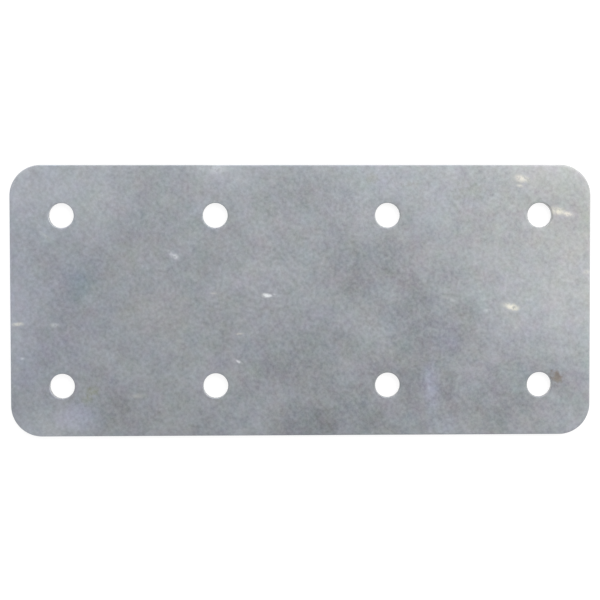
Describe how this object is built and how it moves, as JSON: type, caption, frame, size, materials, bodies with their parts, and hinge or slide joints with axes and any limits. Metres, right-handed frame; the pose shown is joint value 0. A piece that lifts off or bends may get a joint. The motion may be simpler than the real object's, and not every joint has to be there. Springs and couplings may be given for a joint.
{
  "type": "mending plate",
  "caption": "Flat rectangular sheet steel plate with rounded corners and two rows of round screw holes, for joining timber.",
  "frame": {"origin": "centre of the back face, the face that goes against the timber", "axes": "+X along the plate's length, +Y across its width, +Z out of the front face"},
  "size_m": [0.15, 0.07, 0.002],
  "materials": {
    "zinc_coated_steel": "dull grey galvanised zinc with fine mottling and light scuffs"
  },
  "bodies": {
    "root": {"mending_plate": "zinc_coated_steel"}
  },
  "joints": []
}
